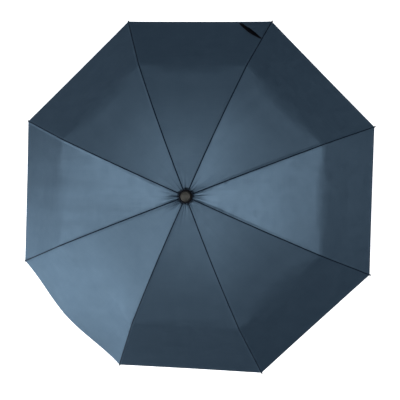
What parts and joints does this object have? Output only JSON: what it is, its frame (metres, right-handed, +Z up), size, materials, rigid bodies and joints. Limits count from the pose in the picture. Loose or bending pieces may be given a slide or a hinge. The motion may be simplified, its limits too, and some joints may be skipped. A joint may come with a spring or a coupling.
{
  "type": "folding umbrella",
  "caption": "Three-fold umbrella, open: eight-gore cloth canopy on hinged channel ribs, runner with catch button, telescoping shaft and short straight grip.",
  "frame": {"origin": "centre of the grip's lower end, on the shaft's axis", "axes": "+Z up the shaft to the ferrule cap; +X and +Y through the middles of two canopy panels"},
  "size_m": [0.8988, 0.8988, 0.5559],
  "materials": {
    "canopy_cloth": "woven polyester with a faint satin sheen",
    "rib_steel": "satin",
    "rib_black": "semi-gloss black",
    "shaft_steel": "bright",
    "cap_taupe": "satin",
    "black_plastic": "fine moulded texture",
    "dark_plastic": "matte",
    "button_grey": "matte",
    "grip_rubber": "soft-touch"
  },
  "bodies": {
    "handle": {"grip": "grip_rubber", "grip_collar": "black_plastic", "grip_end_cap": "dark_plastic", "lower_tube": "shaft_steel"},
    "middle_shaft": {"middle_tube": "shaft_steel"},
    "crown": {"upper_tube": "shaft_steel", "top_notch": "black_plastic", "cap_washer": "dark_plastic", "ferrule_cap": "cap_taupe", "canopy_panel_1": "canopy_cloth", "canopy_panel_2": "canopy_cloth", "canopy_panel_3": "canopy_cloth", "canopy_panel_4": "canopy_cloth", "canopy_panel_5": "canopy_cloth", "canopy_panel_6": "canopy_cloth", "canopy_panel_7": "canopy_cloth", "canopy_panel_8": "canopy_cloth"},
    "runner": {"runner": "black_plastic"},
    "runner_button": {"runner_button": "button_grey"},
    "inner_rib_1": {"inner_rib_1": "rib_steel"},
    "middle_rib_1": {"middle_rib_1": "rib_steel"},
    "tail_rib_1": {"tail_rib_1": "rib_black"},
    "stretcher_1": {"stretcher_1": "rib_steel"},
    "link_rod_1": {"link_rod_1": "rib_black"},
    "inner_rib_2": {"inner_rib_2": "rib_steel"},
    "middle_rib_2": {"middle_rib_2": "rib_steel"},
    "tail_rib_2": {"tail_rib_2": "rib_black", "tie_strap": "canopy_cloth"},
    "stretcher_2": {"stretcher_2": "rib_steel"},
    "link_rod_2": {"link_rod_2": "rib_black"},
    "inner_rib_3": {"inner_rib_3": "rib_steel"},
    "middle_rib_3": {"middle_rib_3": "rib_steel"},
    "tail_rib_3": {"tail_rib_3": "rib_black"},
    "stretcher_3": {"stretcher_3": "rib_steel"},
    "link_rod_3": {"link_rod_3": "rib_black"},
    "inner_rib_4": {"inner_rib_4": "rib_steel"},
    "middle_rib_4": {"middle_rib_4": "rib_steel"},
    "tail_rib_4": {"tail_rib_4": "rib_black"},
    "stretcher_4": {"stretcher_4": "rib_steel"},
    "link_rod_4": {"link_rod_4": "rib_black"},
    "inner_rib_5": {"inner_rib_5": "rib_steel"},
    "middle_rib_5": {"middle_rib_5": "rib_steel"},
    "tail_rib_5": {"tail_rib_5": "rib_black"},
    "stretcher_5": {"stretcher_5": "rib_steel"},
    "link_rod_5": {"link_rod_5": "rib_black"},
    "inner_rib_6": {"inner_rib_6": "rib_steel"},
    "middle_rib_6": {"middle_rib_6": "rib_steel"},
    "tail_rib_6": {"tail_rib_6": "rib_black"},
    "stretcher_6": {"stretcher_6": "rib_steel"},
    "link_rod_6": {"link_rod_6": "rib_black"},
    "inner_rib_7": {"inner_rib_7": "rib_steel"},
    "middle_rib_7": {"middle_rib_7": "rib_steel"},
    "tail_rib_7": {"tail_rib_7": "rib_black"},
    "stretcher_7": {"stretcher_7": "rib_steel"},
    "link_rod_7": {"link_rod_7": "rib_black"},
    "inner_rib_8": {"inner_rib_8": "rib_steel"},
    "middle_rib_8": {"middle_rib_8": "rib_steel"},
    "tail_rib_8": {"tail_rib_8": "rib_black"},
    "stretcher_8": {"stretcher_8": "rib_steel"},
    "link_rod_8": {"link_rod_8": "rib_black"}
  },
  "joints": [
    {"name": "lower_telescope", "type": "slide", "parent": "handle", "child": "middle_shaft", "axis": [0, 0, -1], "range_m": [0, 0.135]},
    {"name": "shaft_telescope", "type": "slide", "parent": "middle_shaft", "child": "crown", "axis": [0, 0, -1], "range_m": [0, 0.135]},
    {"name": "canopy_fold", "type": "slide", "parent": "crown", "child": "runner", "axis": [0, 0, -1], "range_m": [0, 0.13277], "deforming": ["canopy_panel_1", "canopy_panel_2", "canopy_panel_3", "canopy_panel_4", "canopy_panel_5", "canopy_panel_6", "canopy_panel_7", "canopy_panel_8"]},
    {"name": "button_press", "type": "slide", "parent": "runner", "child": "runner_button", "axis": [1, 0, 0], "range_m": [0, 0.0018], "stiffness_N_per_m": 500, "springref_m": -0.002},
    {"name": "notch_hinge_1", "type": "hinge", "parent": "crown", "child": "inner_rib_1", "pos_m": [0.0097, 0.00402, 0.545], "axis": [-0.3827, 0.9239, 0], "range_deg": [0, 87.02]},
    {"name": "elbow_hinge_1", "type": "hinge", "parent": "inner_rib_1", "child": "middle_rib_1", "pos_m": [0.16481, 0.06826, 0.5384], "axis": [0.3827, -0.9239, 0], "range_deg": [0, 192.52]},
    {"name": "knee_hinge_1", "type": "hinge", "parent": "middle_rib_1", "child": "tail_rib_1", "pos_m": [0.312, 0.12923, 0.48986], "axis": [-0.3827, 0.9239, 0], "range_deg": [0, 153.52]},
    {"name": "runner_hinge_1", "type": "hinge", "parent": "runner", "child": "stretcher_1", "pos_m": [0.0097, 0.00402, 0.50263], "axis": [0.3827, -0.9239, 0], "range_deg": [0, 65.52]},
    {"name": "link_hinge_1", "type": "hinge", "parent": "stretcher_1", "child": "link_rod_1", "pos_m": [0.07846, 0.0325, 0.53655], "axis": [-0.3827, 0.9239, 0], "range_deg": [0, 145.29]},
    {"name": "notch_hinge_2", "type": "hinge", "parent": "crown", "child": "inner_rib_2", "pos_m": [0.00402, 0.0097, 0.545], "axis": [-0.9239, 0.3827, 0], "range_deg": [0, 87.02]},
    {"name": "elbow_hinge_2", "type": "hinge", "parent": "inner_rib_2", "child": "middle_rib_2", "pos_m": [0.06826, 0.16481, 0.5384], "axis": [0.9239, -0.3827, 0], "range_deg": [0, 192.52]},
    {"name": "knee_hinge_2", "type": "hinge", "parent": "middle_rib_2", "child": "tail_rib_2", "pos_m": [0.12923, 0.312, 0.48986], "axis": [-0.9239, 0.3827, 0], "range_deg": [0, 153.52]},
    {"name": "runner_hinge_2", "type": "hinge", "parent": "runner", "child": "stretcher_2", "pos_m": [0.00402, 0.0097, 0.50263], "axis": [0.9239, -0.3827, 0], "range_deg": [0, 65.52]},
    {"name": "link_hinge_2", "type": "hinge", "parent": "stretcher_2", "child": "link_rod_2", "pos_m": [0.0325, 0.07846, 0.53655], "axis": [-0.9239, 0.3827, 0], "range_deg": [0, 145.29]},
    {"name": "notch_hinge_3", "type": "hinge", "parent": "crown", "child": "inner_rib_3", "pos_m": [-0.00402, 0.0097, 0.545], "axis": [-0.9239, -0.3827, 0], "range_deg": [0, 87.02]},
    {"name": "elbow_hinge_3", "type": "hinge", "parent": "inner_rib_3", "child": "middle_rib_3", "pos_m": [-0.06826, 0.16481, 0.5384], "axis": [0.9239, 0.3827, 0], "range_deg": [0, 192.52]},
    {"name": "knee_hinge_3", "type": "hinge", "parent": "middle_rib_3", "child": "tail_rib_3", "pos_m": [-0.12923, 0.312, 0.48986], "axis": [-0.9239, -0.3827, 0], "range_deg": [0, 153.52]},
    {"name": "runner_hinge_3", "type": "hinge", "parent": "runner", "child": "stretcher_3", "pos_m": [-0.00402, 0.0097, 0.50263], "axis": [0.9239, 0.3827, 0], "range_deg": [0, 65.52]},
    {"name": "link_hinge_3", "type": "hinge", "parent": "stretcher_3", "child": "link_rod_3", "pos_m": [-0.0325, 0.07846, 0.53655], "axis": [-0.9239, -0.3827, 0], "range_deg": [0, 145.29]},
    {"name": "notch_hinge_4", "type": "hinge", "parent": "crown", "child": "inner_rib_4", "pos_m": [-0.0097, 0.00402, 0.545], "axis": [-0.3827, -0.9239, 0], "range_deg": [0, 87.02]},
    {"name": "elbow_hinge_4", "type": "hinge", "parent": "inner_rib_4", "child": "middle_rib_4", "pos_m": [-0.16481, 0.06826, 0.5384], "axis": [0.3827, 0.9239, 0], "range_deg": [0, 192.52]},
    {"name": "knee_hinge_4", "type": "hinge", "parent": "middle_rib_4", "child": "tail_rib_4", "pos_m": [-0.312, 0.12923, 0.48986], "axis": [-0.3827, -0.9239, 0], "range_deg": [0, 153.52]},
    {"name": "runner_hinge_4", "type": "hinge", "parent": "runner", "child": "stretcher_4", "pos_m": [-0.0097, 0.00402, 0.50263], "axis": [0.3827, 0.9239, 0], "range_deg": [0, 65.52]},
    {"name": "link_hinge_4", "type": "hinge", "parent": "stretcher_4", "child": "link_rod_4", "pos_m": [-0.07846, 0.0325, 0.53655], "axis": [-0.3827, -0.9239, 0], "range_deg": [0, 145.29]},
    {"name": "notch_hinge_5", "type": "hinge", "parent": "crown", "child": "inner_rib_5", "pos_m": [-0.0097, -0.00402, 0.545], "axis": [0.3827, -0.9239, 0], "range_deg": [0, 87.02]},
    {"name": "elbow_hinge_5", "type": "hinge", "parent": "inner_rib_5", "child": "middle_rib_5", "pos_m": [-0.16481, -0.06826, 0.5384], "axis": [-0.3827, 0.9239, 0], "range_deg": [0, 192.52]},
    {"name": "knee_hinge_5", "type": "hinge", "parent": "middle_rib_5", "child": "tail_rib_5", "pos_m": [-0.312, -0.12923, 0.48986], "axis": [0.3827, -0.9239, 0], "range_deg": [0, 153.52]},
    {"name": "runner_hinge_5", "type": "hinge", "parent": "runner", "child": "stretcher_5", "pos_m": [-0.0097, -0.00402, 0.50263], "axis": [-0.3827, 0.9239, 0], "range_deg": [0, 65.52]},
    {"name": "link_hinge_5", "type": "hinge", "parent": "stretcher_5", "child": "link_rod_5", "pos_m": [-0.07846, -0.0325, 0.53655], "axis": [0.3827, -0.9239, 0], "range_deg": [0, 145.29]},
    {"name": "notch_hinge_6", "type": "hinge", "parent": "crown", "child": "inner_rib_6", "pos_m": [-0.00402, -0.0097, 0.545], "axis": [0.9239, -0.3827, 0], "range_deg": [0, 87.02]},
    {"name": "elbow_hinge_6", "type": "hinge", "parent": "inner_rib_6", "child": "middle_rib_6", "pos_m": [-0.06826, -0.16481, 0.5384], "axis": [-0.9239, 0.3827, 0], "range_deg": [0, 192.52]},
    {"name": "knee_hinge_6", "type": "hinge", "parent": "middle_rib_6", "child": "tail_rib_6", "pos_m": [-0.12923, -0.312, 0.48986], "axis": [0.9239, -0.3827, 0], "range_deg": [0, 153.52]},
    {"name": "runner_hinge_6", "type": "hinge", "parent": "runner", "child": "stretcher_6", "pos_m": [-0.00402, -0.0097, 0.50263], "axis": [-0.9239, 0.3827, 0], "range_deg": [0, 65.52]},
    {"name": "link_hinge_6", "type": "hinge", "parent": "stretcher_6", "child": "link_rod_6", "pos_m": [-0.0325, -0.07846, 0.53655], "axis": [0.9239, -0.3827, 0], "range_deg": [0, 145.29]},
    {"name": "notch_hinge_7", "type": "hinge", "parent": "crown", "child": "inner_rib_7", "pos_m": [0.00402, -0.0097, 0.545], "axis": [0.9239, 0.3827, 0], "range_deg": [0, 87.02]},
    {"name": "elbow_hinge_7", "type": "hinge", "parent": "inner_rib_7", "child": "middle_rib_7", "pos_m": [0.06826, -0.16481, 0.5384], "axis": [-0.9239, -0.3827, 0], "range_deg": [0, 192.52]},
    {"name": "knee_hinge_7", "type": "hinge", "parent": "middle_rib_7", "child": "tail_rib_7", "pos_m": [0.12923, -0.312, 0.48986], "axis": [0.9239, 0.3827, 0], "range_deg": [0, 153.52]},
    {"name": "runner_hinge_7", "type": "hinge", "parent": "runner", "child": "stretcher_7", "pos_m": [0.00402, -0.0097, 0.50263], "axis": [-0.9239, -0.3827, 0], "range_deg": [0, 65.52]},
    {"name": "link_hinge_7", "type": "hinge", "parent": "stretcher_7", "child": "link_rod_7", "pos_m": [0.0325, -0.07846, 0.53655], "axis": [0.9239, 0.3827, 0], "range_deg": [0, 145.29]},
    {"name": "notch_hinge_8", "type": "hinge", "parent": "crown", "child": "inner_rib_8", "pos_m": [0.0097, -0.00402, 0.545], "axis": [0.3827, 0.9239, 0], "range_deg": [0, 87.02]},
    {"name": "elbow_hinge_8", "type": "hinge", "parent": "inner_rib_8", "child": "middle_rib_8", "pos_m": [0.16481, -0.06826, 0.5384], "axis": [-0.3827, -0.9239, 0], "range_deg": [0, 192.52]},
    {"name": "knee_hinge_8", "type": "hinge", "parent": "middle_rib_8", "child": "tail_rib_8", "pos_m": [0.312, -0.12923, 0.48986], "axis": [0.3827, 0.9239, 0], "range_deg": [0, 153.52]},
    {"name": "runner_hinge_8", "type": "hinge", "parent": "runner", "child": "stretcher_8", "pos_m": [0.0097, -0.00402, 0.50263], "axis": [-0.3827, -0.9239, 0], "range_deg": [0, 65.52]},
    {"name": "link_hinge_8", "type": "hinge", "parent": "stretcher_8", "child": "link_rod_8", "pos_m": [0.07846, -0.0325, 0.53655], "axis": [0.3827, 0.9239, 0], "range_deg": [0, 145.29]}
  ],
  "couplings": [
    {"joint": "lower_telescope", "follows": "shaft_telescope", "ratio": 1},
    {"joint": "notch_hinge_1", "follows": "canopy_fold", "rad_per_m": 11.437},
    {"joint": "elbow_hinge_1", "follows": "canopy_fold", "rad_per_m": 25.305},
    {"joint": "knee_hinge_1", "follows": "canopy_fold", "rad_per_m": 20.178},
    {"joint": "runner_hinge_1", "follows": "canopy_fold", "rad_per_m": 8.6103},
    {"joint": "link_hinge_1", "follows": "canopy_fold", "rad_per_m": 19.096},
    {"joint": "notch_hinge_2", "follows": "canopy_fold", "rad_per_m": 11.437},
    {"joint": "elbow_hinge_2", "follows": "canopy_fold", "rad_per_m": 25.305},
    {"joint": "knee_hinge_2", "follows": "canopy_fold", "rad_per_m": 20.178},
    {"joint": "runner_hinge_2", "follows": "canopy_fold", "rad_per_m": 8.6103},
    {"joint": "link_hinge_2", "follows": "canopy_fold", "rad_per_m": 19.096},
    {"joint": "notch_hinge_3", "follows": "canopy_fold", "rad_per_m": 11.437},
    {"joint": "elbow_hinge_3", "follows": "canopy_fold", "rad_per_m": 25.305},
    {"joint": "knee_hinge_3", "follows": "canopy_fold", "rad_per_m": 20.178},
    {"joint": "runner_hinge_3", "follows": "canopy_fold", "rad_per_m": 8.6103},
    {"joint": "link_hinge_3", "follows": "canopy_fold", "rad_per_m": 19.096},
    {"joint": "notch_hinge_4", "follows": "canopy_fold", "rad_per_m": 11.437},
    {"joint": "elbow_hinge_4", "follows": "canopy_fold", "rad_per_m": 25.305},
    {"joint": "knee_hinge_4", "follows": "canopy_fold", "rad_per_m": 20.178},
    {"joint": "runner_hinge_4", "follows": "canopy_fold", "rad_per_m": 8.6103},
    {"joint": "link_hinge_4", "follows": "canopy_fold", "rad_per_m": 19.096},
    {"joint": "notch_hinge_5", "follows": "canopy_fold", "rad_per_m": 11.437},
    {"joint": "elbow_hinge_5", "follows": "canopy_fold", "rad_per_m": 25.305},
    {"joint": "knee_hinge_5", "follows": "canopy_fold", "rad_per_m": 20.178},
    {"joint": "runner_hinge_5", "follows": "canopy_fold", "rad_per_m": 8.6103},
    {"joint": "link_hinge_5", "follows": "canopy_fold", "rad_per_m": 19.096},
    {"joint": "notch_hinge_6", "follows": "canopy_fold", "rad_per_m": 11.437},
    {"joint": "elbow_hinge_6", "follows": "canopy_fold", "rad_per_m": 25.305},
    {"joint": "knee_hinge_6", "follows": "canopy_fold", "rad_per_m": 20.178},
    {"joint": "runner_hinge_6", "follows": "canopy_fold", "rad_per_m": 8.6103},
    {"joint": "link_hinge_6", "follows": "canopy_fold", "rad_per_m": 19.096},
    {"joint": "notch_hinge_7", "follows": "canopy_fold", "rad_per_m": 11.437},
    {"joint": "elbow_hinge_7", "follows": "canopy_fold", "rad_per_m": 25.305},
    {"joint": "knee_hinge_7", "follows": "canopy_fold", "rad_per_m": 20.178},
    {"joint": "runner_hinge_7", "follows": "canopy_fold", "rad_per_m": 8.6103},
    {"joint": "link_hinge_7", "follows": "canopy_fold", "rad_per_m": 19.096},
    {"joint": "notch_hinge_8", "follows": "canopy_fold", "rad_per_m": 11.437},
    {"joint": "elbow_hinge_8", "follows": "canopy_fold", "rad_per_m": 25.305},
    {"joint": "knee_hinge_8", "follows": "canopy_fold", "rad_per_m": 20.178},
    {"joint": "runner_hinge_8", "follows": "canopy_fold", "rad_per_m": 8.6103},
    {"joint": "link_hinge_8", "follows": "canopy_fold", "rad_per_m": 19.096}
  ]
}
